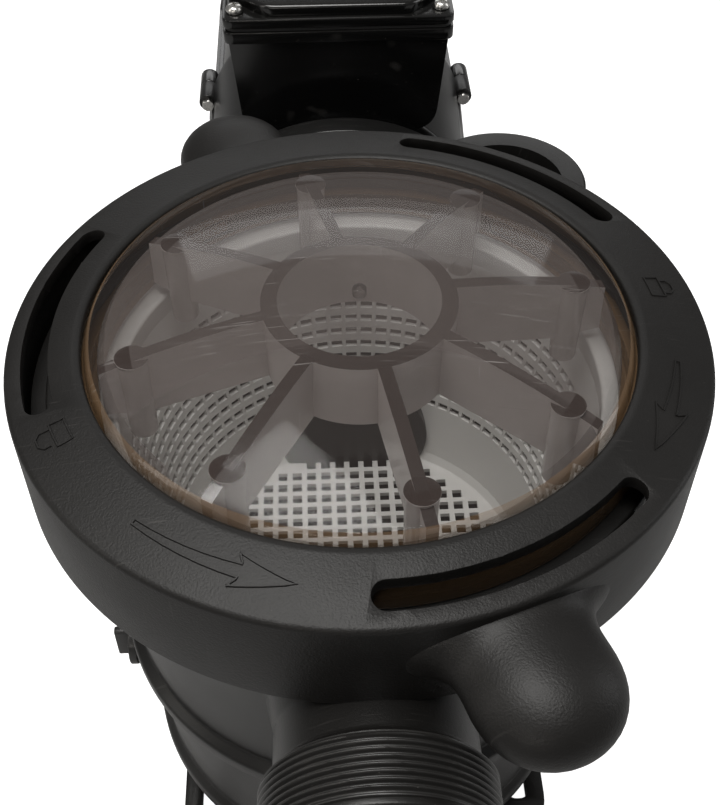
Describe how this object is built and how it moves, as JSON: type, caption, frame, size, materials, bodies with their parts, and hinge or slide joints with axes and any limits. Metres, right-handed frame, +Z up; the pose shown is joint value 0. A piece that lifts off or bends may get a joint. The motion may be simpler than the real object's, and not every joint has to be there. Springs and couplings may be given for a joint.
{
  "type": "pool pump",
  "caption": "Self-priming pool pump: strainer pot under a clear lid with a bayonet lock ring, side suction, upward discharge and a close-coupled electric motor.",
  "frame": {"origin": "on the ground under the strainer pot's axis", "axes": "+Z up, -Y out of the suction port, +Y along the shaft towards the fan, the discharge port on the +X side"},
  "size_m": [0.239, 0.626, 0.271],
  "materials": {
    "body_plastic": "black glass-filled plastic, moulded, slight gloss",
    "ring_plastic": "charcoal moulded plastic with a fine grain",
    "clear_lid": "smoky clear polycarbonate, polished",
    "basket_plastic": "light grey moulded plastic",
    "seal_rubber": "black rubber",
    "fastener_steel": "stainless steel",
    "bearing_steel": "ground steel",
    "wet_end_plastic": "dark glass-filled plastic",
    "seal_ceramic": "lapped ceramic",
    "seal_carbon": "carbon ring in a steel case",
    "bracket_paint": "black painted die casting",
    "shell_paint": "dark grey gloss paint on a rolled steel shell",
    "core_steel": "laminated electrical steel",
    "winding_copper": "varnished copper windings",
    "fan_plastic": "black plastic",
    "box_plastic": "glossy black plastic",
    "gland_plastic": "black nylon",
    "block_plastic": "ivory plastic"
  },
  "bodies": {
    "housing": {"strainer_pot": "body_plastic", "volute_casing": "body_plastic", "seal_plate": "body_plastic", "pump_base": "body_plastic", "motor_foot": "body_plastic", "pot_joint_o_ring": "seal_rubber", "housing_o_ring": "seal_rubber", "seal_seat_cup": "seal_rubber", "terminal_box_gasket": "seal_rubber", "gland_seal": "seal_rubber", "pot_joint_bolt_1": "fastener_steel", "pot_joint_bolt_2": "fastener_steel", "pot_joint_bolt_3": "fastener_steel", "pot_joint_bolt_4": "fastener_steel", "housing_bolt_1": "fastener_steel", "housing_bolt_2": "fastener_steel", "housing_bolt_3": "fastener_steel", "housing_bolt_4": "fastener_steel", "bracket_screw_1": "fastener_steel", "bracket_screw_2": "fastener_steel", "bracket_screw_3": "fastener_steel", "bracket_screw_4": "fastener_steel", "cover_screw_1": "fastener_steel", "cover_screw_2": "fastener_steel", "cover_screw_3": "fastener_steel", "cover_screw_4": "fastener_steel", "front_bearing_outer_ring": "bearing_steel", "rear_bearing_outer_ring": "bearing_steel", "diffuser": "wet_end_plastic", "seal_ceramic_seat": "seal_ceramic", "motor_front_bracket": "bracket_paint", "motor_rear_shield": "bracket_paint", "motor_shell": "shell_paint", "stator_core": "core_steel", "winding_front": "winding_copper", "winding_rear": "winding_copper", "fan_cover": "fan_plastic", "terminal_box": "box_plastic", "terminal_box_cover": "box_plastic", "gland_body": "gland_plastic", "gland_nut": "gland_plastic", "terminal_block": "block_plastic", "capacitor": "block_plastic"},
    "lid": {"lid": "clear_lid", "lid_o_ring": "seal_rubber"},
    "lock_ring": {"lock_ring": "ring_plastic"},
    "basket": {"strainer_basket": "basket_plastic"},
    "rotor": {"shaft": "bearing_steel", "rotor_core": "core_steel", "impeller": "wet_end_plastic", "seal_rotating_head": "seal_carbon", "seal_spring": "fastener_steel", "front_bearing_inner_ring": "bearing_steel", "rear_bearing_inner_ring": "bearing_steel", "water_slinger": "seal_rubber", "cooling_fan": "fan_plastic"},
    "pot_drain_carrier": {"pot_drain_o_ring": "seal_rubber"},
    "pot_drain": {"pot_drain_plug": "body_plastic"},
    "volute_drain_carrier": {"volute_drain_o_ring": "seal_rubber"},
    "volute_drain": {"volute_drain_plug": "body_plastic"}
  },
  "joints": [
    {"name": "lid_lift", "type": "slide", "parent": "housing", "child": "lid", "axis": [0, 0, 1], "range_m": [0, 0.3]},
    {"name": "lock_ring_turn", "type": "hinge", "parent": "lid", "child": "lock_ring", "pos_m": [0, 0, 0.245], "axis": [0, 0, 1], "range_deg": [0, 60]},
    {"name": "basket_lift", "type": "slide", "parent": "housing", "child": "basket", "axis": [0, 0, 1], "range_m": [0, 0.15]},
    {"name": "shaft_spin", "type": "hinge", "parent": "housing", "child": "rotor", "pos_m": [0, 0.2, 0.125], "axis": [0, 1, 0], "continuous": true},
    {"name": "pot_drain_travel", "type": "slide", "parent": "housing", "child": "pot_drain_carrier", "axis": [-1, 0, 0], "range_m": [0, 0.0085]},
    {"name": "pot_drain_turn", "type": "hinge", "parent": "pot_drain_carrier", "child": "pot_drain", "pos_m": [-0.1, 0, 0.062], "axis": [-1, 0, 0], "range_deg": [0, 1080]},
    {"name": "volute_drain_travel", "type": "slide", "parent": "housing", "child": "volute_drain_carrier", "axis": [0, 0, -1], "range_m": [0, 0.0085]},
    {"name": "volute_drain_turn", "type": "hinge", "parent": "volute_drain_carrier", "child": "volute_drain", "pos_m": [0, 0.15, 0.029], "axis": [0, 0, -1], "range_deg": [0, 1080]}
  ],
  "couplings": [
    {"joint": "basket_lift", "follows": "lid_lift", "ratio": 0.5},
    {"joint": "pot_drain_travel", "follows": "pot_drain_turn", "m_per_rad": 0.00042441},
    {"joint": "volute_drain_travel", "follows": "volute_drain_turn", "m_per_rad": 0.00042441}
  ]
}
